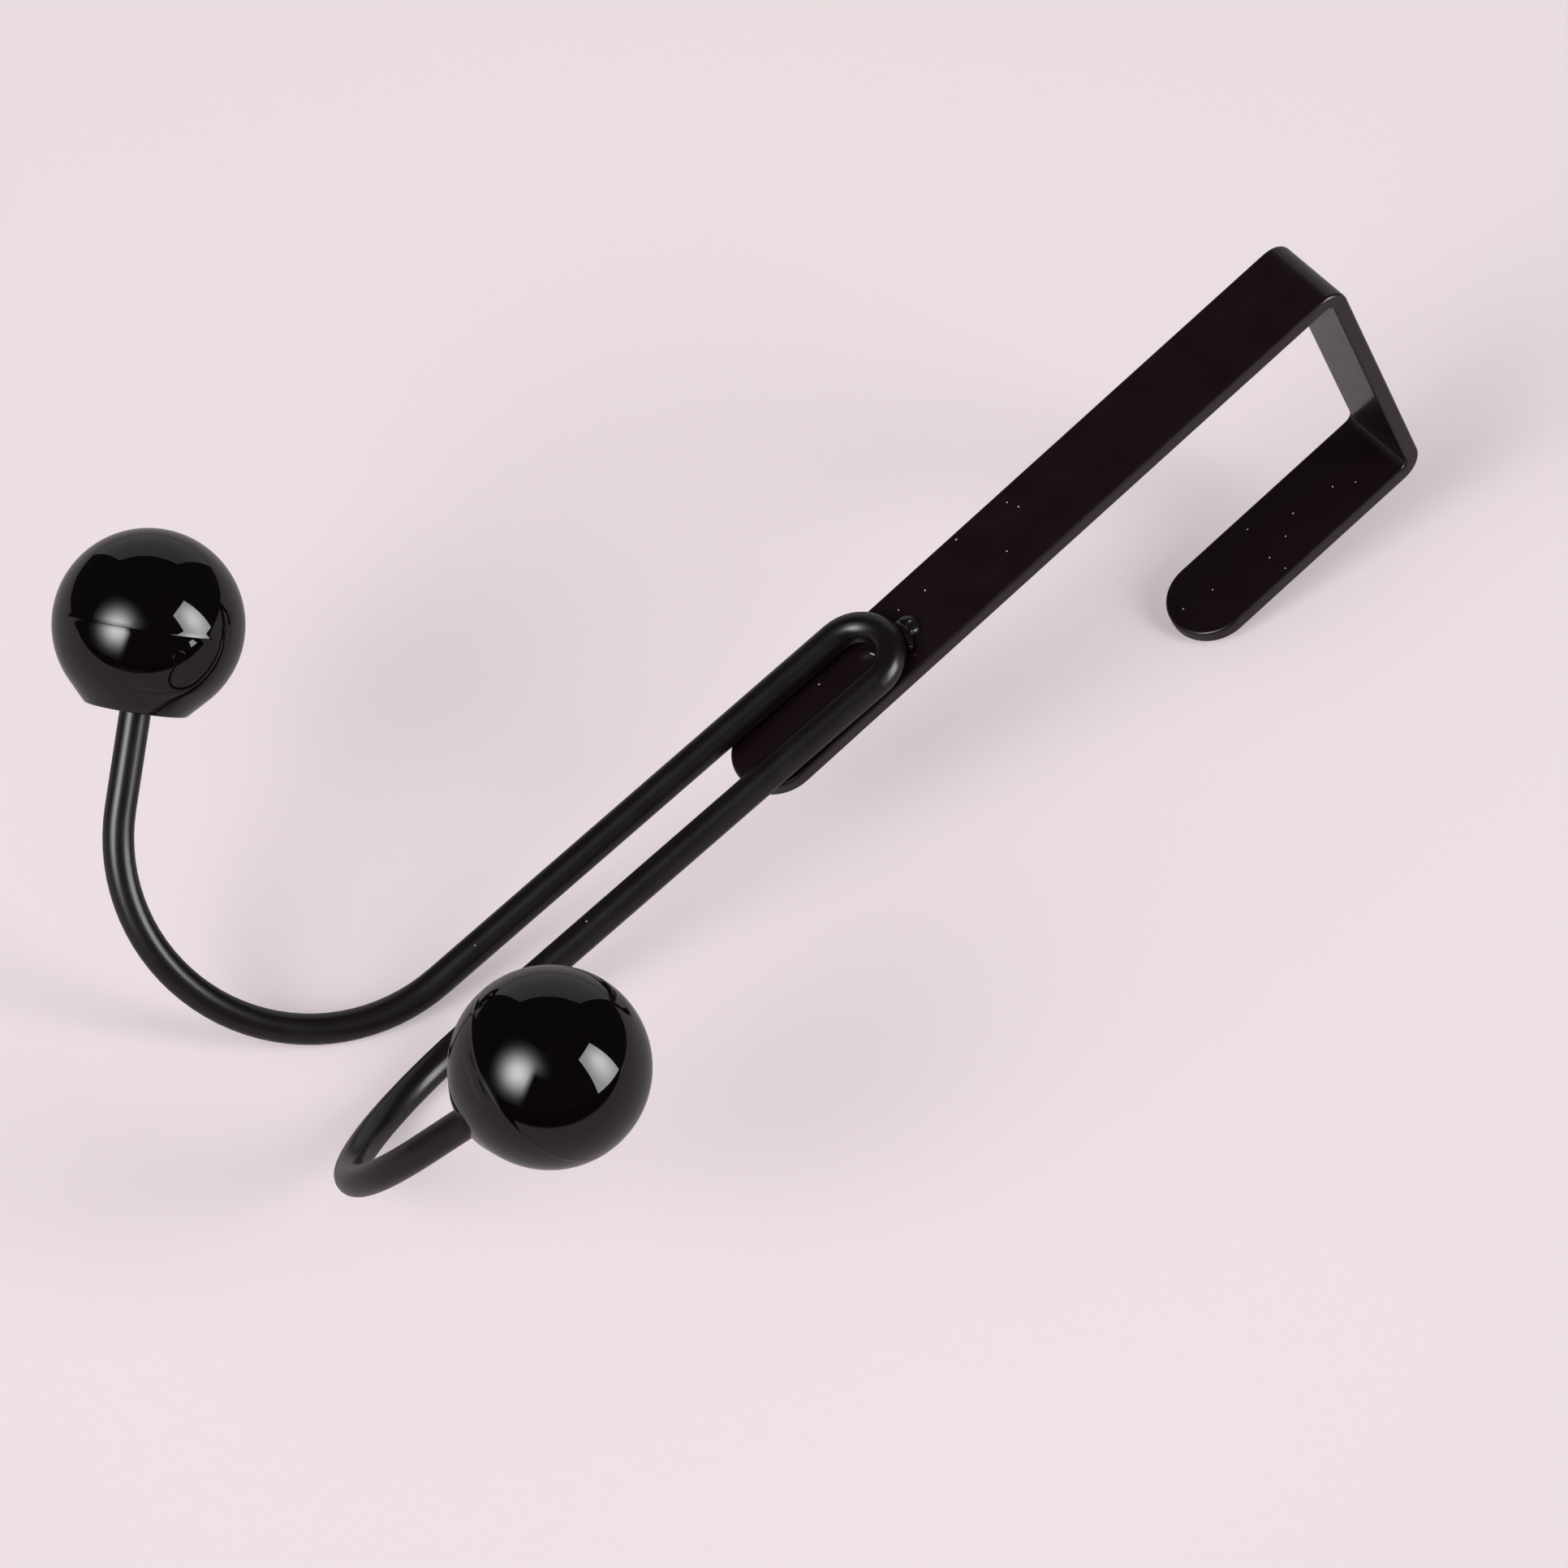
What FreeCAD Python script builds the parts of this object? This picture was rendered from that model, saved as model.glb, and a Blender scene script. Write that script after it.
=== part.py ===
import FreeCAD, Part
import math
import os

os.makedirs("parts", exist_ok=True)
V = FreeCAD.Vector

# An over door hook, in the place where it hangs. Z is up, +Y goes through the door to its far
# side, and X runs along the door. The origin is the middle of the bridge's underside, which
# rests on the door's top edge. All sizes are in millimetres, and angles are in degrees.

# Strap: a flat steel strip, bent to a square U that hooks over the door.
door_gap = 40.0
strap_width = 12.0
strap_thickness = 2.2
strap_edge_radius = 0.45
bend_inner_radius = 1.2
front_leg_drop = 97.4
back_leg_drop = 37.2

# Hook: one round rod, bent to a hairpin with a J at the end of each leg. The loop's height is
# set from the lower end of the strap, and the J's turn outwards from the strap's middle plane.
rod_diameter = 4.0
gap_between_legs = 5.35
loop_centre_rise = 21.0
straight_leg = 66.75
hook_bend_radius = 24.7
hook_bend_angle = 139.1
hook_splay = 43.3
stem_reach = 12.6
rod_end_chamfer = 0.3
rod_to_strap = 0.03

# The hairpin sits on the strap a little askew, as a weld made by hand leaves it.
hook_lean = 1.4
loop_offset = -0.2

# Knobs: moulded balls pushed on the rod's ends. Each has a small flat where the rod enters,
# whose rim stands a little proud of the ball, so that a short cone joins the two.
knob_diameter = 24.2
knob_flat_cut = 1.35
knob_rim_stand_out = 0.45
knob_rim_radius = 0.35
knob_crown_wall = 8.85
knob_bore_clearance = 0.06

# Weld: a round nodule above the loop, with a toe that fills the corner under the rod.
weld_diameter = 3.1
weld_height = 1.5
weld_rise = 0.85
weld_side_offset = 0.4
weld_toe_radius = 1.2
weld_to_rod = 0.03

# How far a cutting block runs past what it cuts, and how close two places count as one.
overshoot = 1.0
same_place = 0.001

rod_radius = rod_diameter / 2
loop_radius = (gap_between_legs + rod_diameter) / 2
loop_centre_z = loop_centre_rise - front_leg_drop
front_face_y = -door_gap / 2 - strap_thickness
rod_axis_y = front_face_y - rod_to_strap - rod_radius
knob_radius = knob_diameter / 2
knob_base_offset = knob_radius - knob_flat_cut
knob_rim_distance = knob_radius + knob_rim_stand_out
knob_base_radius = math.sqrt(knob_rim_distance ** 2 - knob_base_offset ** 2)
knob_bore_depth = knob_base_offset + knob_radius - knob_crown_wall


def strap_profile():
    """The strap seen from its side: a U of constant thickness with two rounded bends."""
    inner_y = door_gap / 2
    outer_y = inner_y + strap_thickness
    bend_outer_radius = bend_inner_radius + strap_thickness

    def bend(side, radius):
        """Start, middle and end of one bend, from its upright leg to the bridge."""
        centre = V(0, side * (inner_y - bend_inner_radius), -bend_inner_radius)
        diagonal = radius * math.sqrt(0.5)
        start = centre + V(0, side * radius, 0)
        middle = centre + V(0, side * diagonal, diagonal)
        return [start, middle, centre + V(0, 0, radius)]

    front_outer = bend(-1, bend_outer_radius)
    front_inner = bend(-1, bend_inner_radius)
    back_outer = bend(1, bend_outer_radius)
    back_inner = bend(1, bend_inner_radius)
    front_foot_outer = V(0, -outer_y, -front_leg_drop)
    front_foot_inner = V(0, -inner_y, -front_leg_drop)
    back_foot_outer = V(0, outer_y, -back_leg_drop)
    back_foot_inner = V(0, inner_y, -back_leg_drop)
    edges = [
        Part.LineSegment(front_foot_outer, front_outer[0]),
        Part.Arc(*front_outer),
        Part.LineSegment(front_outer[-1], back_outer[-1]),
        Part.Arc(*reversed(back_outer)),
        Part.LineSegment(back_outer[0], back_foot_outer),
        Part.LineSegment(back_foot_outer, back_foot_inner),
        Part.LineSegment(back_foot_inner, back_inner[0]),
        Part.Arc(*back_inner),
        Part.LineSegment(back_inner[-1], front_inner[-1]),
        Part.Arc(*reversed(front_inner)),
        Part.LineSegment(front_inner[0], front_foot_inner),
        Part.LineSegment(front_foot_inner, front_foot_outer),
    ]
    return Part.Face(Part.Wire([e.toShape() for e in edges]))


def leg_end_trim(drop, leg_y):
    """What a leg's full round end leaves outside it: a block with a round bite."""
    radius = strap_width / 2
    depth = strap_thickness + 2 * overshoot
    start_y = leg_y - depth / 2
    half_block = radius + overshoot
    corner = V(-half_block, start_y, -drop - overshoot)
    block = Part.makeBox(2 * half_block, depth, radius + overshoot, corner)
    round_end = Part.makeCylinder(radius, depth, V(0, start_y, radius - drop), V(0, 1, 0))
    return block.cut(round_end)


def is_long_edge(edge):
    """True for the edges along the strip's two sides and round its ends, false across it."""
    at_side = [abs(abs(p.x) - strap_width / 2) < same_place for p in edge.discretize(5)]
    goes_round_end = isinstance(edge.Curve, Part.Circle) and abs(edge.Curve.Axis.y) > 0.99
    goes_across = edge.Length < strap_thickness + same_place and not isinstance(edge.Curve, Part.Circle)
    return goes_round_end or (all(at_side) and not goes_across)


def make_door_strap():
    """The strip is bent, its ends are rounded, and its long edges are broken."""
    strip = strap_profile().extrude(V(strap_width, 0, 0))
    strip.translate(V(-strap_width / 2, 0, 0))
    leg_middle_y = (door_gap + strap_thickness) / 2
    strip = strip.cut(leg_end_trim(front_leg_drop, -leg_middle_y))
    strip = strip.cut(leg_end_trim(back_leg_drop, leg_middle_y))
    strip = strip.removeSplitter()
    return strip.makeFillet(strap_edge_radius, [e for e in strip.Edges if is_long_edge(e)])


def on_strap(point):
    """Puts a point of the hairpin's own flat layout on the strap, with its lean and offset."""
    turned = FreeCAD.Rotation(V(0, 1, 0), hook_lean).multVec(point)
    return turned + V(loop_offset, rod_axis_y, loop_centre_z)


def hook_leg(side):
    """One leg of the hairpin about the loop's centre: where each run starts, and the stem's way."""
    splay = math.radians(hook_splay)
    turn = math.radians(hook_bend_angle)
    down = V(0, 0, -1)
    forward = V(side * math.sin(splay), -math.cos(splay), 0)
    leg_top = V(side * loop_radius, 0, 0)
    leg_foot = leg_top + down * straight_leg
    bend_centre = leg_foot + forward * hook_bend_radius

    def on_bend(angle):
        outwards = down * math.sin(angle) - forward * math.cos(angle)
        return bend_centre + outwards * hook_bend_radius

    stem = forward * math.sin(turn) + down * math.cos(turn)
    knob_base = on_bend(turn) + stem * stem_reach
    return {
        "leg_top": leg_top,
        "leg_foot": leg_foot,
        "bend_middle": on_bend(turn / 2),
        "bend_end": on_bend(turn),
        "rod_end": knob_base + stem * knob_bore_depth,
        "knob_centre": knob_base + stem * knob_base_offset,
        "stem": stem,
    }


def make_hook_wire():
    """The rod: stem, J, leg, loop, leg, J and stem, each run tangent to the next."""
    left = {name: on_strap(point) for name, point in hook_leg(-1).items()}
    right = {name: on_strap(point) for name, point in hook_leg(1).items()}
    loop_top = on_strap(V(0, 0, loop_radius))
    runs = [
        Part.LineSegment(left["rod_end"], left["bend_end"]),
        Part.Arc(left["bend_end"], left["bend_middle"], left["leg_foot"]),
        Part.LineSegment(left["leg_foot"], left["leg_top"]),
        Part.Arc(left["leg_top"], loop_top, right["leg_top"]),
        Part.LineSegment(right["leg_top"], right["leg_foot"]),
        Part.Arc(right["leg_foot"], right["bend_middle"], right["bend_end"]),
        Part.LineSegment(right["bend_end"], right["rod_end"]),
    ]
    path = Part.Wire([run.toShape() for run in runs])
    start_direction = left["bend_end"] - left["rod_end"]
    section = Part.Face(Part.Wire(Part.makeCircle(rod_radius, left["rod_end"], start_direction)))
    rod = path.makePipe(section)
    cut_ends = [f for f in rod.Faces if isinstance(f.Surface, Part.Plane)]
    return rod.makeChamfer(rod_end_chamfer, [e for f in cut_ends for e in f.Edges])


def is_base_rim(edge):
    """True for the ring where the knob's flat meets its cone."""
    box = edge.BoundBox
    at_base = box.ZMax < same_place - knob_base_offset
    return at_base and box.XLength > 2 * (knob_base_radius - same_place)


def make_knob(side):
    """A ball with a rimmed flat at the rod's side and a blind bore, set on the end of one stem."""
    rim = V(knob_base_radius, 0, -knob_base_offset)
    rim_angle = math.atan2(rim.x, -rim.z)
    tangent_angle = rim_angle + math.acos(knob_radius / knob_rim_distance)
    side_angle = (math.pi + tangent_angle) / 2
    bore_radius = rod_radius + knob_bore_clearance
    bore_end_z = knob_bore_depth - knob_base_offset
    crown = V(0, 0, knob_radius)

    def on_ball(angle):
        return V(knob_radius * math.sin(angle), 0, -knob_radius * math.cos(angle))

    outline = [
        Part.LineSegment(V(bore_radius, 0, -knob_base_offset), rim),
        Part.LineSegment(rim, on_ball(tangent_angle)),
        Part.Arc(on_ball(tangent_angle), on_ball(side_angle), crown),
        Part.LineSegment(crown, V(0, 0, bore_end_z)),
        Part.LineSegment(V(0, 0, bore_end_z), V(bore_radius, 0, bore_end_z)),
        Part.LineSegment(V(bore_radius, 0, bore_end_z), V(bore_radius, 0, -knob_base_offset)),
    ]
    profile = Part.Face(Part.Wire([line.toShape() for line in outline]))
    knob = profile.revolve(V(0, 0, 0), V(0, 0, 1), 360)
    knob = knob.makeFillet(knob_rim_radius, [e for e in knob.Edges if is_base_rim(e)])
    leg = hook_leg(side)
    lean = FreeCAD.Rotation(V(0, 1, 0), hook_lean)
    along_stem = lean.multiply(FreeCAD.Rotation(V(0, 0, 1), leg["stem"]))
    knob.Placement = FreeCAD.Placement(on_strap(leg["knob_centre"]), along_stem)
    return knob


def room_for_loop():
    """The rod's bend in the loop, thicker by the weld's clearance."""
    ring = Part.makeTorus(loop_radius, rod_radius + weld_to_rod, V(0, 0, 0), V(0, 1, 0))
    ring.rotate(V(0, 0, 0), V(0, 1, 0), hook_lean)
    ring.translate(on_strap(V(0, 0, 0)))
    return ring


def make_weld_bead():
    """A dome on the strap's face joined to a toe in the corner between the face and the rod."""
    loop_crest = loop_radius + rod_radius
    dome_place = on_strap(V(weld_side_offset, 0, loop_crest + weld_rise))
    toe_place = on_strap(V(weld_side_offset, 0, loop_crest))
    dome_radius = (weld_diameter ** 2 / 4 + weld_height ** 2) / (2 * weld_height)
    dome_sunk = dome_radius - weld_height
    dome = Part.makeSphere(dome_radius, V(dome_place.x, front_face_y + dome_sunk, dome_place.z))
    toe = Part.makeSphere(weld_toe_radius, V(toe_place.x, front_face_y, toe_place.z))
    reach = 2 * (weld_diameter + weld_toe_radius)
    behind_face = V(dome_place.x - reach / 2, front_face_y, dome_place.z - reach / 2)
    bead = dome.fuse(toe).cut(Part.makeBox(reach, reach, reach, behind_face))
    return bead.cut(room_for_loop())


pieces = {
    "door_strap": make_door_strap(),
    "hook_wire": make_hook_wire(),
    "weld_bead": make_weld_bead(),
    "ball_knob_left": make_knob(-1),
    "ball_knob_right": make_knob(1),
}
for name, shape in pieces.items():
    shape.exportStep("parts/" + name + ".step")
    print(name, shape.isValid(), len(shape.Solids), round(shape.Volume, 2))
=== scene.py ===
import math

import bpy
from mathutils import Matrix, Vector


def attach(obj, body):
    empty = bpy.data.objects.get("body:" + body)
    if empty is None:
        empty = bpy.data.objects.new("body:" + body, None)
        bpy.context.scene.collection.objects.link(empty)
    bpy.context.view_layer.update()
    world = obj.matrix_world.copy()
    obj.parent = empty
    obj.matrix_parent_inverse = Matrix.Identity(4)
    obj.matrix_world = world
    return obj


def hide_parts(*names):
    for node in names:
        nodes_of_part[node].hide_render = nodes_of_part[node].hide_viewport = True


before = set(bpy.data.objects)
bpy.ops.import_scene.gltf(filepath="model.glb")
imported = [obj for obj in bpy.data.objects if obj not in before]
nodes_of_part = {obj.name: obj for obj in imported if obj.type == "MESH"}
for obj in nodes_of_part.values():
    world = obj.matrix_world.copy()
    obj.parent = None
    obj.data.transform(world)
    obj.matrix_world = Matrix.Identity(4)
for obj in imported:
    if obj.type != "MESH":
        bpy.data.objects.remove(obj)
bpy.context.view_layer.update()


# The door strap is a flat steel strip bent to a square U that drops over the door.
# It is powder coated semi-gloss black after bending, so the coat flows round the rolled
# edges. The dust on it comes in a section below.
strap_black = (0.0058, 0.001, 0.0021, 1)
strap_dusty = (0.0068, 0.0017, 0.0029, 1)


def coat_group():
    """Powder coat: a slightly wavy skin, with uneven gloss and a thin veil of dust."""
    group = bpy.data.node_groups.new("powder_coat", "ShaderNodeTree")
    face = group.interface
    face.new_socket(name="Coat", in_out="INPUT", socket_type="NodeSocketColor")
    face.new_socket(name="Dusty Coat", in_out="INPUT", socket_type="NodeSocketColor")
    for name in ("Peel Size", "Peel Height", "Smoothest", "Roughest"):
        face.new_socket(name=name, in_out="INPUT", socket_type="NodeSocketFloat")
    face.new_socket(name="Colour", in_out="OUTPUT", socket_type="NodeSocketColor")
    face.new_socket(name="Roughness", in_out="OUTPUT", socket_type="NodeSocketFloat")
    face.new_socket(name="Normal", in_out="OUTPUT", socket_type="NodeSocketVector")
    add = group.nodes.new
    link = group.links.new
    given = add("NodeGroupInput")
    result = add("NodeGroupOutput")
    place = add("ShaderNodeTexCoord").outputs["Object"]

    density = add("ShaderNodeMath")
    density.operation = "DIVIDE"
    density.inputs[0].default_value = 1
    link(given.outputs["Peel Size"], density.inputs[1])
    peel = add("ShaderNodeTexNoise")
    peel.inputs["Detail"].default_value = 2
    link(place, peel.inputs["Vector"])
    link(density.outputs[0], peel.inputs["Scale"])
    skin = add("ShaderNodeBump")
    skin.inputs["Strength"].default_value = 1
    link(peel.outputs["Fac"], skin.inputs["Height"])
    link(given.outputs["Peel Height"], skin.inputs["Distance"])
    link(skin.outputs["Normal"], result.inputs["Normal"])

    patches = add("ShaderNodeTexNoise")
    patches.inputs["Scale"].default_value = 260
    patches.inputs["Detail"].default_value = 2
    patches.inputs["Roughness"].default_value = 0.4
    link(place, patches.inputs["Vector"])
    gloss = add("ShaderNodeMapRange")
    gloss.inputs["From Min"].default_value = 0.3
    gloss.inputs["From Max"].default_value = 0.7
    link(patches.outputs["Fac"], gloss.inputs["Value"])
    link(given.outputs["Smoothest"], gloss.inputs["To Min"])
    link(given.outputs["Roughest"], gloss.inputs["To Max"])
    link(gloss.outputs["Result"], result.inputs["Roughness"])
    veil = add("ShaderNodeMix")
    veil.data_type = "RGBA"
    link(patches.outputs["Fac"], veil.inputs["Factor"])
    link(given.outputs["Coat"], veil.inputs[6])
    link(given.outputs["Dusty Coat"], veil.inputs[7])
    link(veil.outputs[2], result.inputs["Colour"])
    return group


powder_coat = coat_group()


def coated_steel(name, black, dusty, peel_size, peel_height, smoothest, roughest, shine):
    """Black powder coat over steel, with the peel and gloss of one piece."""
    steel = bpy.data.materials.new(name)
    steel.use_nodes = True
    tree = steel.node_tree
    shader = tree.nodes["Principled BSDF"]
    coat = tree.nodes.new("ShaderNodeGroup")
    coat.node_tree = powder_coat
    coat.inputs["Coat"].default_value = black
    coat.inputs["Dusty Coat"].default_value = dusty
    coat.inputs["Peel Size"].default_value = peel_size
    coat.inputs["Peel Height"].default_value = peel_height
    coat.inputs["Smoothest"].default_value = smoothest
    coat.inputs["Roughest"].default_value = roughest
    tree.links.new(coat.outputs["Colour"], shader.inputs["Base Color"])
    tree.links.new(coat.outputs["Roughness"], shader.inputs["Roughness"])
    tree.links.new(coat.outputs["Normal"], shader.inputs["Normal"])
    shader.inputs["IOR"].default_value = 1.43
    shader.inputs["Coat Weight"].default_value = shine
    shader.inputs["Coat Roughness"].default_value = 0.11
    return steel


def dress(piece, material):
    """Gives every slot of a piece one material."""
    if not piece.material_slots:
        piece.data.materials.append(material)
    for slot in piece.material_slots:
        slot.material = material


strap_coat = coated_steel(
    "strap_coat",
    strap_black,
    strap_dusty,
    peel_size=0.0007,
    peel_height=0.0000006,
    smoothest=0.32,
    roughest=0.37,
    shine=0.42,
)
dress(nodes_of_part["door_strap"], strap_coat)


# The hook wire is one round steel rod bent to a hairpin. Its closed loop lies on the strap
# and its two legs turn up in J's. It is coated with the strap, after they are welded.
wire_black = (0.0038, 0.0021, 0.0034, 1)
wire_dusty = (0.0052, 0.0034, 0.0046, 1)
wire_coat = coated_steel(
    "wire_coat",
    wire_black,
    wire_dusty,
    peel_size=0.0009,
    peel_height=0.0000015,
    smoothest=0.3,
    roughest=0.35,
    shine=0.2,
)
dress(nodes_of_part["hook_wire"], wire_coat)


# The weld is a short fillet along the loop's crest, laid by hand, that fixes the wire to the
# strap. It ends in a small nodule with a crater where the arc was drawn off. It lies under
# the coat.
strap_face = -0.0222
loop_middle = Vector((-0.0002, -0.02423, -0.0764))
fillet_reach = 0.00706
fillet_level = -0.02305
fillet_start_degrees = -5
fillet_stop_degrees = 31
fillet_sizes = (
    0.0005, 0.0007, 0.0008, 0.00084, 0.00084, 0.0008,
    0.00072, 0.00062, 0.00052, 0.00042, 0.00032,
)
same_bearing = math.radians(1)
nodule_place = (0.00024, strap_face, -0.06862)
nodule_size = (0.00172, 0.00155, 0.00172)
weld_back = strap_face + 0.00016
crater_place = Vector((0.00108, -0.0235, -0.06796))
crater_radius = 0.00034
crater_depth = 0.0003
crater_spread = 0.0006


def choose_corners(piece, wanted):
    """Selects the corners whose place is as wanted says, on a piece in edit mode."""
    bpy.ops.mesh.select_mode(type="VERT")
    bpy.ops.mesh.select_all(action="DESELECT")
    bpy.ops.object.mode_set(mode="OBJECT")
    for corner in piece.data.vertices:
        corner.select = wanted(corner.co)
    bpy.ops.object.mode_set(mode="EDIT")


def bearing_of(place):
    """The angle of a place round the loop, from its crest."""
    return math.atan2(place.x - loop_middle.x, place.z - loop_middle.z)


def in_fillet(bearing):
    """The middle of the run of weld metal, at an angle round the loop from its crest."""
    side = loop_middle.x + fillet_reach * math.sin(bearing)
    height = loop_middle.z + fillet_reach * math.cos(bearing)
    return Vector((side, fillet_level, height))


def lay_fillet():
    """A run of weld metal in the corner beside the loop, thin at both ends."""
    begin = math.radians(fillet_start_degrees)
    sweep = fillet_stop_degrees - fillet_start_degrees
    steps = len(fillet_sizes) - 1
    bpy.ops.object.select_all(action="DESELECT")
    bpy.ops.mesh.primitive_circle_add(
        vertices=24,
        radius=fillet_sizes[0],
        location=in_fillet(begin),
        rotation=(0, math.pi / 2 + begin, 0),
    )
    run = bpy.context.object
    bpy.ops.object.transform_apply(location=True, rotation=True, scale=True)
    bpy.ops.object.mode_set(mode="EDIT")
    bpy.ops.mesh.select_all(action="SELECT")
    turn = math.radians(sweep)
    bpy.ops.mesh.spin(steps=steps, angle=turn, center=loop_middle, axis=(0, -1, 0))
    for step, size in enumerate(fillet_sizes):
        bearing = math.radians(fillet_start_degrees + sweep * step / steps)
        choose_corners(run, lambda place: abs(bearing_of(place) - bearing) < same_bearing)
        share = size / fillet_sizes[0]
        bpy.ops.transform.resize(value=(share, share, share), center_override=in_fillet(bearing))
    bpy.ops.mesh.select_all(action="SELECT")
    bpy.ops.mesh.fill_holes(sides=0)
    bpy.ops.mesh.normals_make_consistent(inside=False)
    bpy.ops.object.mode_set(mode="OBJECT")
    return run


fillet = lay_fillet()
bpy.ops.object.select_all(action="DESELECT")
bpy.ops.mesh.primitive_uv_sphere_add(segments=48, ring_count=24, radius=1, location=nodule_place)
nodule = bpy.context.object
nodule.scale = nodule_size
fillet.select_set(True)
bpy.ops.object.join()
bpy.ops.object.transform_apply(location=True, rotation=True, scale=True)
weld = bpy.context.object
weld.name = "weld_fillet"
bpy.ops.object.mode_set(mode="EDIT")
choose_corners(weld, lambda place: place.y > weld_back)
bpy.ops.transform.resize(value=(1, 0, 1), center_override=(0, weld_back, 0))
bpy.ops.object.mode_set(mode="OBJECT")
melt = weld.modifiers.new("melt", "REMESH")
melt.mode = "VOXEL"
melt.voxel_size = 0.00006
flow = weld.modifiers.new("flow", "SMOOTH")
flow.factor = 0.5
flow.iterations = 8
for modifier in ("melt", "flow"):
    bpy.ops.object.modifier_apply(modifier=modifier)
bpy.ops.object.mode_set(mode="EDIT")
choose_corners(weld, lambda place: (place - crater_place).length < crater_radius)
bpy.ops.transform.translate(
    value=(0, crater_depth, 0),
    use_proportional_edit=True,
    proportional_edit_falloff="SMOOTH",
    proportional_size=crater_spread,
)
bpy.ops.mesh.select_all(action="SELECT")
bpy.ops.mesh.normals_make_consistent(inside=False)
bpy.ops.object.mode_set(mode="OBJECT")
bpy.ops.object.shade_smooth_by_angle(angle=math.radians(50))
weld_coat = coated_steel(
    "weld_coat",
    wire_black,
    wire_dusty,
    peel_size=0.0007,
    peel_height=0.000006,
    smoothest=0.22,
    roughest=0.3,
    shine=0.35,
)
dress(weld, weld_coat)
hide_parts("weld_bead")
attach(weld, "root")


# Pale specks of dust lie on the strap and the wire, each a flat grain, and one short fibre
# lies inside the loop. They are where the photograph shows them. Their places are in
# millimetres: X and Z on the strap's two faces, and X, Y and Z on the wire.
inner_face = 0.02
front_specks = (
    (-3.9, -47.9), (-2.2, -47.3), (-4.9, -55.9), (1.7, -52.6),
    (-2.3, -63.5), (-2.5, -81.7), (-2.8, -67.7),
)
back_specks = (
    (2.4, -6.5), (0.5, -9.0), (-0.6, -15.3), (-3.6, -21.0), (1.3, -18.3),
    (2.1, -21.9), (5.0, -21.6), (-0.2, -30.3), (-1.1, -34.9),
)
wire_specks = ((-5.6, -26.06, -136.7), (3.3, -26.23, -124.5))
grain_size = 0.00011
grain_height = 0.00006
fibre_place = (-0.00043, strap_face, -0.07414)
fibre_reach = 0.00045
fibre_height = 0.00007
fibre_lean = -0.35
dust_jag = 0.000012


def grain(place, reach, height, lean):
    """One flat grain of dust, sunk a little into the coat."""
    bpy.ops.object.select_all(action="DESELECT")
    bpy.ops.mesh.primitive_ico_sphere_add(subdivisions=2, radius=1, location=place)
    speck = bpy.context.object
    speck.scale = (reach, height, grain_size)
    speck.rotation_euler = (0, lean, 0)
    return speck


grains = []
for at, (x, z) in enumerate(front_specks):
    reach = grain_size * (1.1 + 0.2 * (at % 3))
    grains.append(grain((x / 1000, strap_face, z / 1000), reach, grain_height, at))
for at, (x, z) in enumerate(back_specks):
    reach = grain_size * (1 + 0.2 * (at % 3))
    grains.append(grain((x / 1000, inner_face, z / 1000), reach, grain_height, at))
for at, (x, y, z) in enumerate(wire_specks):
    reach = grain_size * 1.2
    grains.append(grain((x / 1000, y / 1000, z / 1000), reach, grain_height, at))
grains.append(grain(fibre_place, fibre_reach, fibre_height, fibre_lean))
bpy.ops.object.select_all(action="DESELECT")
for speck in grains:
    speck.select_set(True)
bpy.context.view_layer.objects.active = grains[0]
bpy.ops.object.join()
bpy.ops.object.transform_apply(location=True, rotation=True, scale=True)
dust = bpy.context.object
dust.name = "dust_specks"
bpy.ops.object.mode_set(mode="EDIT")
bpy.ops.mesh.select_all(action="SELECT")
bpy.ops.transform.vertex_random(offset=dust_jag, uniform=1, seed=4)
bpy.ops.mesh.normals_make_consistent(inside=False)
bpy.ops.object.mode_set(mode="OBJECT")
bpy.ops.object.shade_smooth()
dust_grey = bpy.data.materials.new("dust_grey")
dust_grey.use_nodes = True
tree = dust_grey.node_tree
shader = tree.nodes["Principled BSDF"]
coords = tree.nodes.new("ShaderNodeTexCoord")
lint = tree.nodes.new("ShaderNodeTexNoise")
lint.inputs["Scale"].default_value = 14000
lint.inputs["Detail"].default_value = 3
tree.links.new(coords.outputs["Object"], lint.inputs["Vector"])
greys = tree.nodes.new("ShaderNodeMix")
greys.data_type = "RGBA"
greys.inputs[6].default_value = (0.22, 0.2, 0.2, 1)
greys.inputs[7].default_value = (0.5, 0.48, 0.47, 1)
tree.links.new(lint.outputs["Fac"], greys.inputs["Factor"])
tree.links.new(greys.outputs[2], shader.inputs["Base Color"])
matt = tree.nodes.new("ShaderNodeMapRange")
matt.inputs["To Min"].default_value = 0.7
matt.inputs["To Max"].default_value = 0.95
tree.links.new(lint.outputs["Fac"], matt.inputs["Value"])
tree.links.new(matt.outputs["Result"], shader.inputs["Roughness"])
fluff = tree.nodes.new("ShaderNodeBump")
fluff.inputs["Strength"].default_value = 0.8
fluff.inputs["Distance"].default_value = 0.00002
tree.links.new(lint.outputs["Fac"], fluff.inputs["Height"])
tree.links.new(fluff.outputs["Normal"], shader.inputs["Normal"])
dress(dust, dust_grey)
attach(dust, "root")


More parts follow.
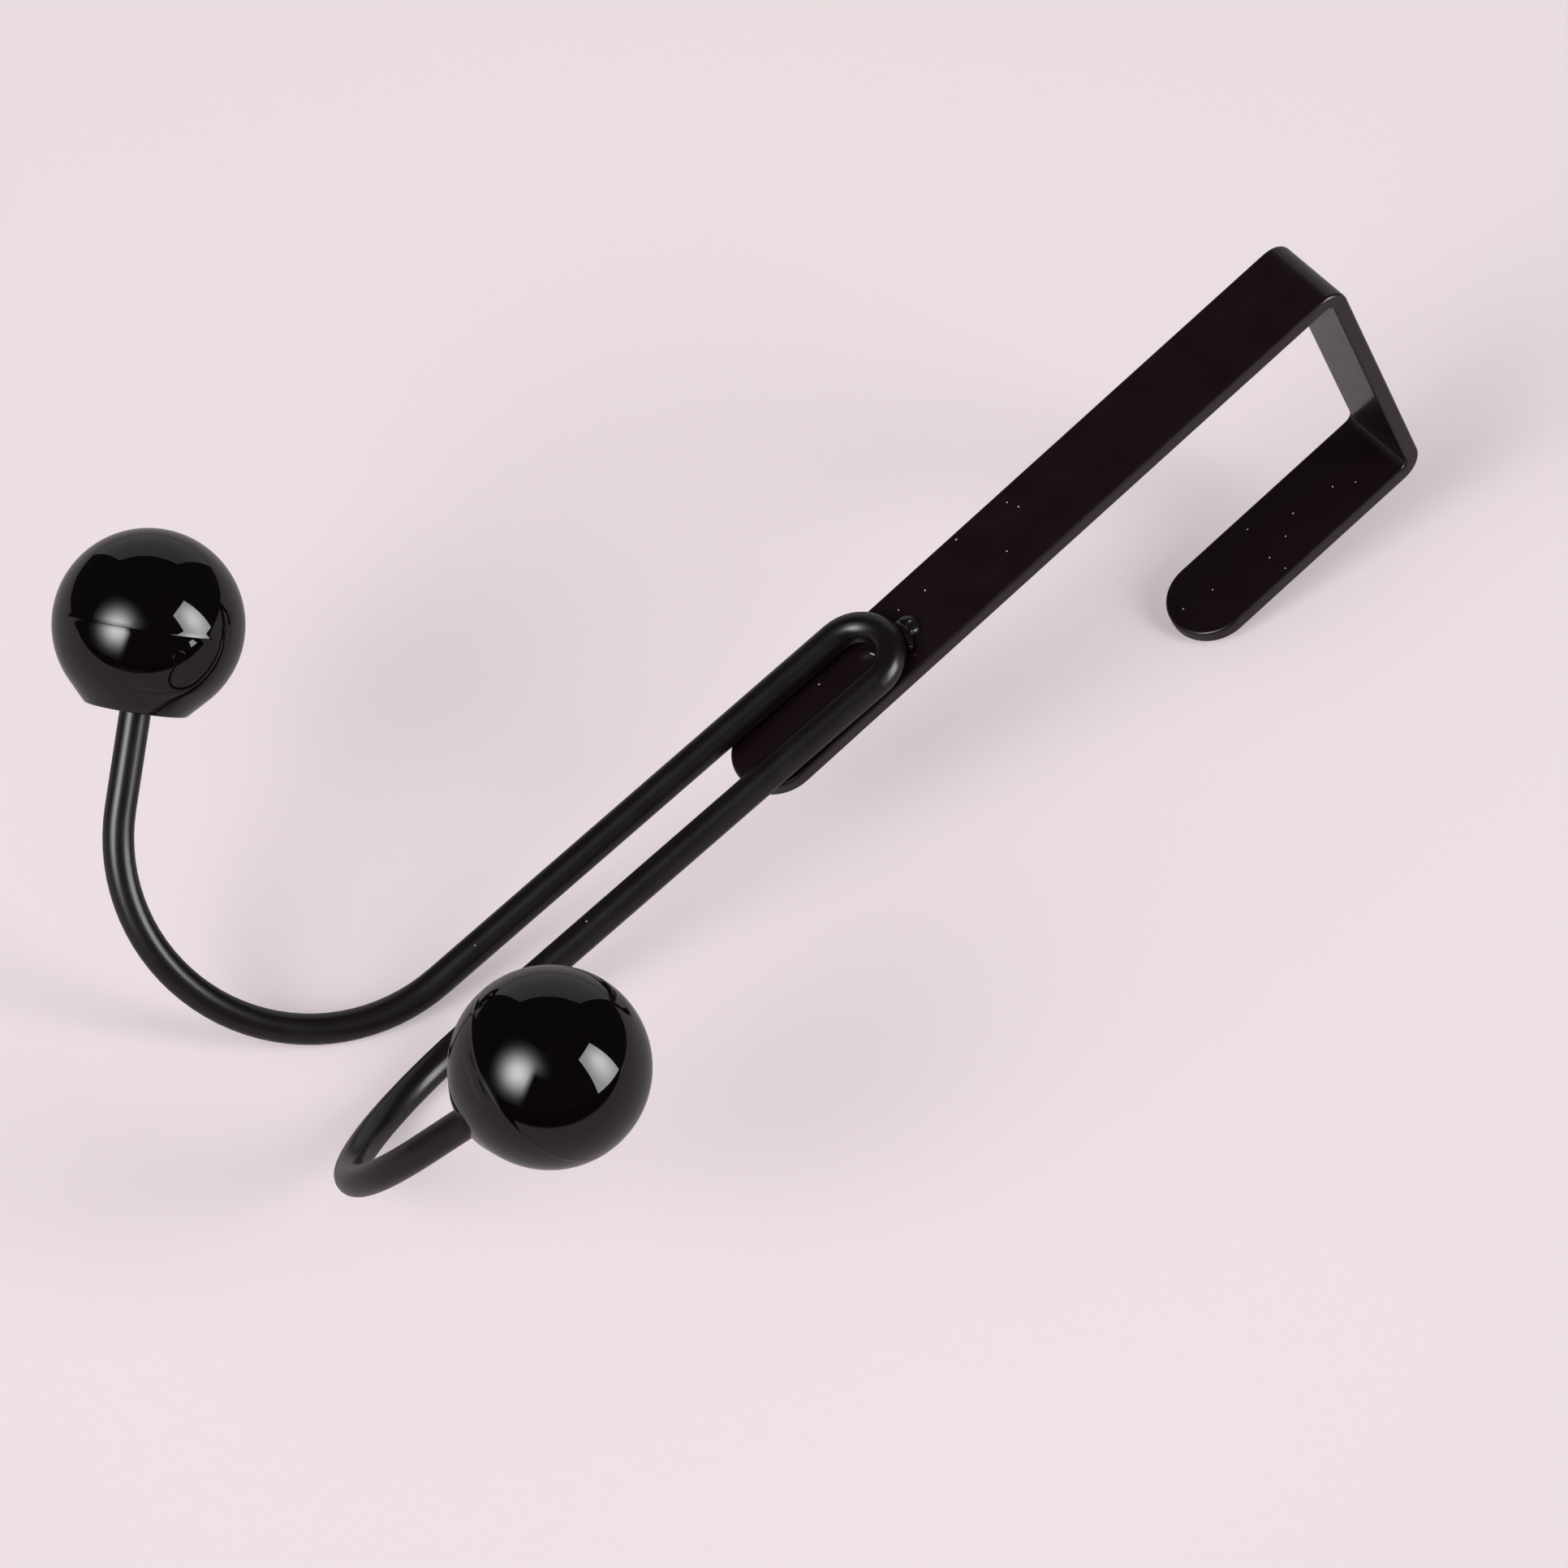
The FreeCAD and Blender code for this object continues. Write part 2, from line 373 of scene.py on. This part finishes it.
# The two ball knobs are black plastic, moulded in two halves and polished. Each has a
# rimmed flat at the rod's side and is pushed onto the rod's end. The fine raised line
# round its middle is where the two halves of the mould met.
knob_radius = 0.0121
knob_flat_from_middle = 0.01075
knob_flat_radius = 0.006476
knob_bore_radius = 0.00206
knob_bore_depth = 0.014
knob_rim_rounding = 0.00018
knob_rings = 62
cone_rings = 16
mould_line_width = 0.00016
mould_line_height = 0.000018
near = 0.00001
at_middle = 0.000001
knob_black = (0.0018, 0.0011, 0.0014, 1)
knob_rubbed = (0.018, 0.016, 0.018, 1)
arc_stretch = (90, 90, 4200)
marks_grow_over = 0.002


def choose_edges(piece, wanted):
    """Selects the edges whose two ends both lie where wanted says."""
    bpy.ops.mesh.select_all(action="DESELECT")
    bpy.ops.object.mode_set(mode="OBJECT")
    mesh = piece.data
    for edge in mesh.edges:
        ends = [mesh.vertices[i].co for i in edge.vertices]
        edge.select = all(wanted(end) for end in ends)
    bpy.ops.object.mode_set(mode="EDIT")


def turn_in(piece, radius, drop):
    """Draws a new ring out of the chosen one, to a radius and a drop below it."""
    bpy.ops.object.mode_set(mode="OBJECT")
    ring = [v.co.copy() for v in piece.data.vertices if v.select]
    bpy.ops.object.mode_set(mode="EDIT")
    before = max(math.hypot(co.x, co.y) for co in ring)
    level = sum(co.z for co in ring) / len(ring)
    bpy.ops.mesh.extrude_region_move(TRANSFORM_OT_translate={"value": (0, 0, -drop)})
    share = radius / before
    bpy.ops.transform.resize(value=(share, share, 1), center_override=(0, 0, level - drop))


def on_rim(place):
    """Whether a place lies on the rim round the knob's flat."""
    low = place.z < -knob_flat_from_middle + near
    return low and math.hypot(place.x, place.y) > knob_flat_radius - near


def mould_knob(name):
    """One ball, made round the origin with its rod coming from below."""
    bpy.ops.object.select_all(action="DESELECT")
    bpy.ops.mesh.primitive_uv_sphere_add(segments=144, ring_count=knob_rings, radius=knob_radius)
    knob = bpy.context.object
    knob.name = name
    cone_level = -knob_radius * math.cos(math.pi * cone_rings / knob_rings)
    bpy.ops.object.mode_set(mode="EDIT")
    choose_corners(knob, lambda place: place.z < cone_level - near)
    bpy.ops.mesh.delete(type="VERT")
    bpy.ops.mesh.select_mode(type="EDGE")
    choose_edges(knob, lambda place: place.z < cone_level + near)
    turn_in(knob, knob_flat_radius, knob_flat_from_middle + cone_level)
    turn_in(knob, knob_bore_radius, 0)
    turn_in(knob, knob_bore_radius, -knob_bore_depth)
    bpy.ops.mesh.edge_face_add()
    choose_edges(knob, on_rim)
    bpy.ops.mesh.bevel(offset=knob_rim_rounding, segments=5, profile=0.5)
    choose_edges(knob, lambda place: abs(place.z) < at_middle)
    bpy.ops.mesh.bevel(offset=mould_line_width / 2, segments=2)
    choose_edges(knob, lambda place: abs(place.z) < at_middle)
    share = 1 + mould_line_height / knob_radius
    bpy.ops.transform.resize(value=(share, share, 1), center_override=(0, 0, 0))
    bpy.ops.mesh.select_all(action="SELECT")
    bpy.ops.mesh.normals_make_consistent(inside=False)
    bpy.ops.object.mode_set(mode="OBJECT")
    bpy.ops.object.shade_smooth_by_angle(angle=math.radians(17))
    return knob


def polish_group():
    """Polish marks: faint arcs round the rod's axis, in patches on the knob's rod side."""
    group = bpy.data.node_groups.new("polish_marks", "ShaderNodeTree")
    face = group.interface
    face.new_socket(name="Place", in_out="INPUT", socket_type="NodeSocketVector")
    face.new_socket(name="Black", in_out="INPUT", socket_type="NodeSocketColor")
    face.new_socket(name="Rubbed", in_out="INPUT", socket_type="NodeSocketColor")
    face.new_socket(name="Marks Begin", in_out="INPUT", socket_type="NodeSocketFloat")
    face.new_socket(name="Colour", in_out="OUTPUT", socket_type="NodeSocketColor")
    face.new_socket(name="Roughness", in_out="OUTPUT", socket_type="NodeSocketFloat")
    face.new_socket(name="Normal", in_out="OUTPUT", socket_type="NodeSocketVector")
    add = group.nodes.new
    link = group.links.new
    given = add("NodeGroupInput")
    result = add("NodeGroupOutput")

    drawn = add("ShaderNodeVectorMath")
    drawn.operation = "MULTIPLY"
    drawn.inputs[1].default_value = arc_stretch
    link(given.outputs["Place"], drawn.inputs[0])
    arcs = add("ShaderNodeTexNoise")
    arcs.inputs["Scale"].default_value = 1
    arcs.inputs["Detail"].default_value = 3
    link(drawn.outputs[0], arcs.inputs["Vector"])
    fine = add("ShaderNodeMapRange")
    fine.inputs["From Min"].default_value = 0.54
    fine.inputs["From Max"].default_value = 0.72
    link(arcs.outputs["Fac"], fine.inputs["Value"])
    handled = add("ShaderNodeTexNoise")
    handled.inputs["Scale"].default_value = 110
    handled.inputs["Detail"].default_value = 2
    link(given.outputs["Place"], handled.inputs["Vector"])
    patch = add("ShaderNodeMapRange")
    patch.inputs["From Min"].default_value = 0.42
    patch.inputs["From Max"].default_value = 0.54
    link(handled.outputs["Fac"], patch.inputs["Value"])
    upright = add("ShaderNodeSeparateXYZ")
    link(given.outputs["Place"], upright.inputs[0])
    low = add("ShaderNodeMapRange")
    full = add("ShaderNodeMath")
    full.operation = "SUBTRACT"
    full.inputs[1].default_value = marks_grow_over
    link(given.outputs["Marks Begin"], full.inputs[0])
    link(given.outputs["Marks Begin"], low.inputs["From Min"])
    link(full.outputs[0], low.inputs["From Max"])
    link(upright.outputs["Z"], low.inputs["Value"])
    where = add("ShaderNodeMath")
    where.operation = "MULTIPLY"
    link(patch.outputs["Result"], where.inputs[0])
    link(low.outputs["Result"], where.inputs[1])
    marks = add("ShaderNodeMath")
    marks.operation = "MULTIPLY"
    link(fine.outputs["Result"], marks.inputs[0])
    link(where.outputs[0], marks.inputs[1])

    gloss = add("ShaderNodeMapRange")
    gloss.inputs["To Min"].default_value = 0.035
    gloss.inputs["To Max"].default_value = 0.12
    link(marks.outputs[0], gloss.inputs["Value"])
    smear = add("ShaderNodeMapRange")
    smear.inputs["To Min"].default_value = 0
    smear.inputs["To Max"].default_value = 0.02
    link(where.outputs[0], smear.inputs["Value"])
    rough = add("ShaderNodeMath")
    rough.operation = "ADD"
    link(gloss.outputs["Result"], rough.inputs[0])
    link(smear.outputs["Result"], rough.inputs[1])
    link(rough.outputs[0], result.inputs["Roughness"])
    rubbed = add("ShaderNodeMix")
    rubbed.data_type = "RGBA"
    link(marks.outputs[0], rubbed.inputs["Factor"])
    link(given.outputs["Black"], rubbed.inputs[6])
    link(given.outputs["Rubbed"], rubbed.inputs[7])
    link(rubbed.outputs[2], result.inputs["Colour"])
    groove = add("ShaderNodeBump")
    groove.inputs["Strength"].default_value = 1
    groove.inputs["Distance"].default_value = 0.000001
    link(marks.outputs[0], groove.inputs["Height"])
    link(groove.outputs["Normal"], result.inputs["Normal"])
    return group


polish_marks = polish_group()


def knob_plastic(name, place, turned, marks_begin):
    """Polished black plastic, with its marks set round the knob's own middle."""
    plastic = bpy.data.materials.new(name)
    plastic.use_nodes = True
    tree = plastic.node_tree
    shader = tree.nodes["Principled BSDF"]
    coords = tree.nodes.new("ShaderNodeTexCoord")
    own = tree.nodes.new("ShaderNodeMapping")
    own.vector_type = "TEXTURE"
    own.inputs["Location"].default_value = place
    own.inputs["Rotation"].default_value = turned.to_euler()
    tree.links.new(coords.outputs["Object"], own.inputs["Vector"])
    marked = tree.nodes.new("ShaderNodeGroup")
    marked.node_tree = polish_marks
    marked.inputs["Black"].default_value = knob_black
    marked.inputs["Rubbed"].default_value = knob_rubbed
    marked.inputs["Marks Begin"].default_value = marks_begin
    tree.links.new(own.outputs["Vector"], marked.inputs["Place"])
    tree.links.new(marked.outputs["Colour"], shader.inputs["Base Color"])
    tree.links.new(marked.outputs["Roughness"], shader.inputs["Roughness"])
    tree.links.new(marked.outputs["Normal"], shader.inputs["Normal"])
    shader.inputs["IOR"].default_value = 1.55
    return plastic


def set_knob(knob, node, place, stem, finish, marks_begin):
    """Stands a knob on its rod's end and gives it its finish."""
    turned = Vector(stem).to_track_quat("Z", "Y").to_matrix().to_4x4()
    plastic = knob_plastic(finish, place, turned, marks_begin)
    knob.matrix_world = Matrix.Translation(place) @ turned
    bpy.ops.object.select_all(action="DESELECT")
    knob.select_set(True)
    bpy.context.view_layer.objects.active = knob
    bpy.ops.object.transform_apply(location=True, rotation=True, scale=True)
    dress(knob, plastic)
    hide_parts(node)
    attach(knob, "root")


left_knob = mould_knob("moulded_knob_left")
right_knob = left_knob.copy()
right_knob.data = left_knob.data.copy()
right_knob.name = "moulded_knob_right"
bpy.context.collection.objects.link(right_knob)
set_knob(
    left_knob,
    "ball_knob_left",
    place=(-0.046685, -0.06692, -0.140556),
    stem=(-0.43043, -0.4765, 0.7666),
    finish="knob_left_plastic",
    marks_begin=-0.0045,
)
set_knob(
    right_knob,
    "ball_knob_right",
    place=(0.043095, -0.06692, -0.142751),
    stem=(0.46737, -0.4765, 0.74466),
    finish="knob_right_plastic",
    marks_begin=-0.0005,
)


# The table is pale paper under the part, which lies on its two hook bends and the end of the
# short leg. The paper's front edge is made for reflections alone, where the knobs show it.
# It is part of the stage, as the lamps and the pale card are.
table_up = Vector((0.0089, -0.9306, 0.3660)).normalized()
line_of_sight = Vector((-0.55833, 0.82386, 0.0976)).normalized()
picture_up = Vector((-0.57693, -0.47012, 0.66794))
camera_place = Vector((0.48733, -0.73353, -0.17832))
picture_middle_distance = 0.89117

away = (line_of_sight - table_up * line_of_sight.dot(table_up)).normalized()
across = away.cross(table_up)
middle = camera_place + line_of_sight * picture_middle_distance
studio = Matrix.Translation(middle) @ Matrix((across, away, table_up)).transposed().to_4x4()

paper_colour = (0.80, 0.708, 0.723, 1)
paper_mirrored = (0.37, 0.33, 0.355, 1)
past_paper = (0.004, 0.004, 0.004, 1)
paper_front = -0.215
paper_edge_blur = 0.01

bpy.ops.object.select_all(action="DESELECT")
bpy.ops.mesh.primitive_plane_add(size=8)
table = bpy.context.object
table.name = "table"
table.matrix_world = studio

paper = bpy.data.materials.new("paper")
paper.use_nodes = True
tree = paper.node_tree
shader = tree.nodes["Principled BSDF"]
shader.inputs["Roughness"].default_value = 0.8
shader.inputs["Specular IOR Level"].default_value = 0
ray = tree.nodes.new("ShaderNodeLightPath")
shade = tree.nodes.new("ShaderNodeMix")
shade.data_type = "RGBA"
shade.inputs[6].default_value = paper_colour
tree.links.new(ray.outputs["Is Glossy Ray"], shade.inputs["Factor"])
tree.links.new(shade.outputs[2], shader.inputs["Base Color"])
coords = tree.nodes.new("ShaderNodeTexCoord")
on_paper = tree.nodes.new("ShaderNodeSeparateXYZ")
tree.links.new(coords.outputs["Object"], on_paper.inputs[0])
front = tree.nodes.new("ShaderNodeMapRange")
front.inputs["From Min"].default_value = paper_front - paper_edge_blur
front.inputs["From Max"].default_value = paper_front + paper_edge_blur
tree.links.new(on_paper.outputs["Y"], front.inputs["Value"])
ends = tree.nodes.new("ShaderNodeMix")
ends.data_type = "RGBA"
ends.inputs[6].default_value = past_paper
ends.inputs[7].default_value = paper_mirrored
tree.links.new(front.outputs["Result"], ends.inputs["Factor"])
tree.links.new(ends.outputs[2], shade.inputs[7])
pale = tree.nodes.new("ShaderNodeEmission")
pale.inputs["Color"].default_value = paper_colour
clear = tree.nodes.new("ShaderNodeBsdfTransparent")
from_middle = tree.nodes.new("ShaderNodeVectorMath")
from_middle.operation = "LENGTH"
tree.links.new(coords.outputs["Object"], from_middle.inputs[0])
fade = tree.nodes.new("ShaderNodeMapRange")
fade.interpolation_type = "SMOOTHSTEP"
fade.inputs["From Min"].default_value = 0.1
fade.inputs["From Max"].default_value = 0.28
fade.inputs["To Min"].default_value = 0.35
tree.links.new(from_middle.outputs["Value"], fade.inputs["Value"])
seen = tree.nodes.new("ShaderNodeMath")
seen.operation = "MULTIPLY"
tree.links.new(fade.outputs["Result"], seen.inputs[0])
tree.links.new(ray.outputs["Is Camera Ray"], seen.inputs[1])
far_off = tree.nodes.new("ShaderNodeMixShader")
tree.links.new(seen.outputs[0], far_off.inputs["Fac"])
tree.links.new(shader.outputs[0], far_off.inputs[1])
tree.links.new(pale.outputs[0], far_off.inputs[2])
side = tree.nodes.new("ShaderNodeNewGeometry")
one_sided = tree.nodes.new("ShaderNodeMixShader")
tree.links.new(side.outputs["Backfacing"], one_sided.inputs["Fac"])
tree.links.new(far_off.outputs[0], one_sided.inputs[1])
tree.links.new(clear.outputs[0], one_sided.inputs[2])
tree.links.new(one_sided.outputs[0], tree.nodes["Material Output"].inputs["Surface"])
table.data.materials.append(paper)


# The key lamp is a soft square box at the left, with a flag over its lower corner nearest the
# camera. The right lamp is an upright box just above the floor's level. A pale card stands
# behind the part, and the knobs' tops mirror it.
lamp_distance = 3.2
key_middle = (0.5, 0.5, 0)
key_falloff = -20
box_brightest = (0.6, 0.45, 0)
box_off_floor = 0.12


def in_studio(turn, lift, distance):
    """A place round the table's middle. Turn is from the camera's side, to the picture's right."""
    turn = math.radians(turn)
    lift = math.radians(lift)
    level = distance * math.cos(lift)
    height = distance * math.sin(lift)
    return studio @ Vector((level * math.sin(turn), -level * math.cos(turn), height))


def aim(thing, place, target, up):
    """Stands a lamp, card or camera at a place, looking at the target."""
    back = (place - target).normalized()
    right = up.cross(back).normalized()
    turned = Matrix((right, back.cross(right), back)).transposed().to_4x4()
    thing.matrix_world = Matrix.Translation(place) @ turned


def level_width(degrees):
    """The width that spans an angle each way, seen from the table's middle."""
    return 2 * lamp_distance * math.tan(math.radians(degrees))


def lamp(name, width, height, radiance):
    """A soft box as an area lamp, at the radiance that it shows on a mirror."""
    light = bpy.data.lights.new(name, "AREA")
    light.shape = "RECTANGLE"
    light.size = width
    light.size_y = height
    light.energy = radiance * math.pi * width * height
    box = bpy.data.objects.new(name, light)
    bpy.context.collection.objects.link(box)
    box.visible_camera = False
    light.use_nodes = True
    return box


def from_place(tree, spot, place):
    """How far a spot on a lamp's face lies from a chosen place on it."""
    offset = tree.nodes.new("ShaderNodeVectorMath")
    offset.operation = "SUBTRACT"
    offset.inputs[1].default_value = place
    tree.links.new(spot.outputs["Parametric"], offset.inputs[0])
    reach = tree.nodes.new("ShaderNodeVectorMath")
    reach.operation = "LENGTH"
    tree.links.new(offset.outputs[0], reach.inputs[0])
    return reach.outputs["Value"]


key_width = level_width(34)
key = lamp("key_lamp", key_width, key_width, radiance=12.5)
aim(key, in_studio(turn=-42, lift=34.5, distance=lamp_distance), middle, table_up)
tree = key.data.node_tree
spot = tree.nodes.new("ShaderNodeNewGeometry")
squared = tree.nodes.new("ShaderNodeMath")
squared.operation = "POWER"
squared.inputs[1].default_value = 2
tree.links.new(from_place(tree, spot, key_middle), squared.inputs[0])
falling = tree.nodes.new("ShaderNodeMath")
falling.operation = "MULTIPLY"
falling.inputs[1].default_value = key_falloff
tree.links.new(squared.outputs[0], falling.inputs[0])
soft = tree.nodes.new("ShaderNodeMath")
soft.operation = "EXPONENT"
tree.links.new(falling.outputs[0], soft.inputs[0])
parts = tree.nodes.new("ShaderNodeSeparateXYZ")
tree.links.new(spot.outputs["Parametric"], parts.inputs[0])
beside = tree.nodes.new("ShaderNodeMapRange")
beside.inputs["From Min"].default_value = 0.64
beside.inputs["From Max"].default_value = 0.74
tree.links.new(parts.outputs["X"], beside.inputs["Value"])
below = tree.nodes.new("ShaderNodeMapRange")
below.inputs["From Min"].default_value = 0.78
below.inputs["From Max"].default_value = 0.58
tree.links.new(parts.outputs["Y"], below.inputs["Value"])
flag = tree.nodes.new("ShaderNodeMath")
flag.operation = "MULTIPLY"
tree.links.new(beside.outputs[0], flag.inputs[0])
tree.links.new(below.outputs[0], flag.inputs[1])
past_flag = tree.nodes.new("ShaderNodeMath")
past_flag.operation = "SUBTRACT"
past_flag.inputs[0].default_value = 1
tree.links.new(flag.outputs[0], past_flag.inputs[1])
key_glow = tree.nodes.new("ShaderNodeMath")
key_glow.operation = "MULTIPLY"
tree.links.new(soft.outputs[0], key_glow.inputs[0])
tree.links.new(past_flag.outputs[0], key_glow.inputs[1])
tree.links.new(key_glow.outputs[0], tree.nodes["Emission"].inputs["Strength"])

box_height = lamp_distance * math.tan(math.radians(45))
box_lift = table_up * (box_height / 2 + box_off_floor)
right_box = lamp("right_lamp", level_width(16), box_height, radiance=11)
right_foot = in_studio(turn=67, lift=0, distance=lamp_distance)
aim(right_box, right_foot + box_lift, middle + box_lift, table_up)
tree = right_box.data.node_tree
spot = tree.nodes.new("ShaderNodeNewGeometry")
uneven = tree.nodes.new("ShaderNodeMapRange")
uneven.interpolation_type = "SMOOTHSTEP"
uneven.inputs["From Min"].default_value = 0.6
uneven.inputs["From Max"].default_value = 0
uneven.inputs["To Min"].default_value = 0.45
uneven.inputs["To Max"].default_value = 1
tree.links.new(from_place(tree, spot, box_brightest), uneven.inputs["Value"])
tree.links.new(uneven.outputs["Result"], tree.nodes["Emission"].inputs["Strength"])

bpy.ops.object.select_all(action="DESELECT")
bpy.ops.mesh.primitive_plane_add(size=1)
card = bpy.context.object
card.name = "pale_card"
card_width = 1.32 * lamp_distance
card_height = box_height
card_lift = table_up * (card_height / 2)
card_foot = in_studio(turn=178, lift=0, distance=lamp_distance)
aim(card, card_foot + card_lift, middle + card_lift, table_up)
card.matrix_world = card.matrix_world @ Matrix.Diagonal((card_width, card_height, 1, 1))
card.visible_camera = False
card_white = bpy.data.materials.new("card_white")
card_white.use_nodes = True
tree = card_white.node_tree
tree.nodes.remove(tree.nodes["Principled BSDF"])
lit = tree.nodes.new("ShaderNodeEmission")
lit.inputs["Color"].default_value = (0.97, 0.95, 1, 1)
lit.inputs["Strength"].default_value = 0.42
tree.links.new(lit.outputs[0], tree.nodes["Material Output"].inputs["Surface"])
card.data.materials.append(card_white)


# The room is nearly dark in what the part mirrors, and adds a soft fill to what it lights.
# Past the table's edge, the camera sees the paper's own colour.
world = bpy.data.worlds.new("room")
bpy.context.scene.world = world
world.use_nodes = True
tree = world.node_tree
room = tree.nodes["Background"]
room.inputs["Color"].default_value = (1, 1, 1, 1)
room.inputs["Strength"].default_value = 0.02
fill = tree.nodes.new("ShaderNodeBackground")
fill.inputs["Strength"].default_value = 0.32
sweep = tree.nodes.new("ShaderNodeBackground")
sweep.inputs["Color"].default_value = paper_colour
sweep.inputs["Strength"].default_value = 1
ray = tree.nodes.new("ShaderNodeLightPath")
dim = tree.nodes.new("ShaderNodeMixShader")
tree.links.new(ray.outputs["Is Diffuse Ray"], dim.inputs["Fac"])
tree.links.new(room.outputs[0], dim.inputs[1])
tree.links.new(fill.outputs[0], dim.inputs[2])
choose = tree.nodes.new("ShaderNodeMixShader")
tree.links.new(ray.outputs["Is Camera Ray"], choose.inputs["Fac"])
tree.links.new(dim.outputs[0], choose.inputs[1])
tree.links.new(sweep.outputs[0], choose.inputs[2])
tree.links.new(choose.outputs[0], tree.nodes["World Output"].inputs["Surface"])


# The camera stands where the photograph was taken from, about 0.9 m from the part, with a
# long lens. Its place, its lean and its lens are those that fit the photograph's outline.
lens = bpy.data.cameras.new("photograph")
lens.sensor_width = 36
lens.lens = 156.284
lens.clip_end = 20
camera = bpy.data.objects.new("photograph", lens)
bpy.context.collection.objects.link(camera)
aim(camera, camera_place, camera_place + line_of_sight, picture_up)
bpy.context.scene.camera = camera
bpy.context.scene.view_settings.view_transform = "Standard"
